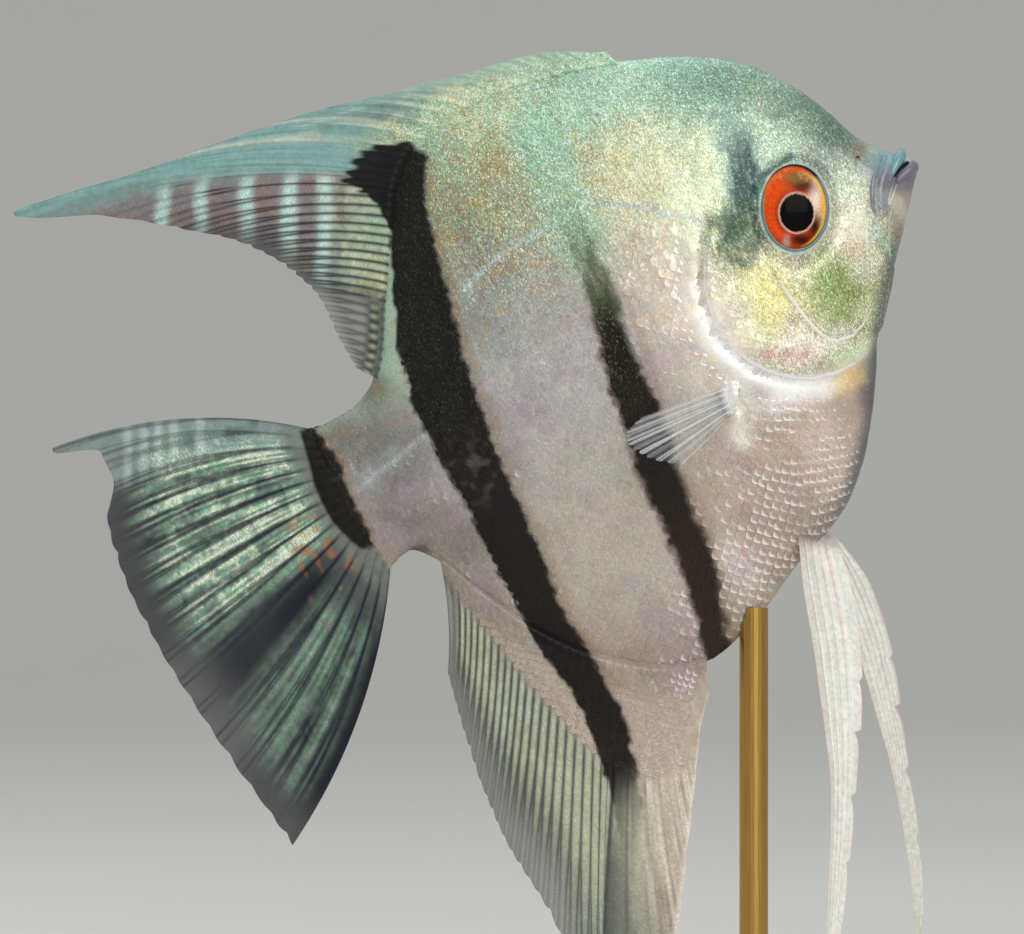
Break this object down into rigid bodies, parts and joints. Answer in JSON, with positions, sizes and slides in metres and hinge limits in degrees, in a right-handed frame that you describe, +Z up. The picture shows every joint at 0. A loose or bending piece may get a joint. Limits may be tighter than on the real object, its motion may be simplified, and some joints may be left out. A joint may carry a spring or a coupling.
{
  "type": "freshwater angelfish model",
  "caption": "Still, life-size freshwater angelfish with a tall flat body, trailing dorsal and anal fins and thread-like pelvic fins, held nose-up by a rod over a flat base.",
  "frame": {"origin": "centre of the underside of the stand's base", "axes": "+Z up, +X towards the side the fish faces, +Y to the fish's left"},
  "size_m": [0.1333, 0.058, 0.1765],
  "materials": {
    "skin": "silvery scaled skin with dark upright bars",
    "fin": "smoky fin membrane over darker rays, with pale bands",
    "pale_fin": "milky white fin with fine lengthwise rays",
    "eye": "wet orange-red iris round a black pupil",
    "stand_wood": "dark oiled wood",
    "stand_brass": "satin brass"
  },
  "bodies": {
    "root": {"head": "skin", "lower_jaw": "skin", "gill_cover_left": "skin", "gill_cover_right": "skin", "trunk": "skin", "tail_stalk": "skin", "dorsal_fin": "fin", "anal_fin": "fin", "caudal_fin": "fin", "pelvic_fin_left": "pale_fin", "pelvic_fin_right": "pale_fin", "pectoral_fin_left": "pale_fin", "pectoral_fin_right": "pale_fin", "eye_left": "eye", "eye_right": "eye", "stand_base": "stand_wood", "stand_rod": "stand_brass"}
  },
  "joints": []
}
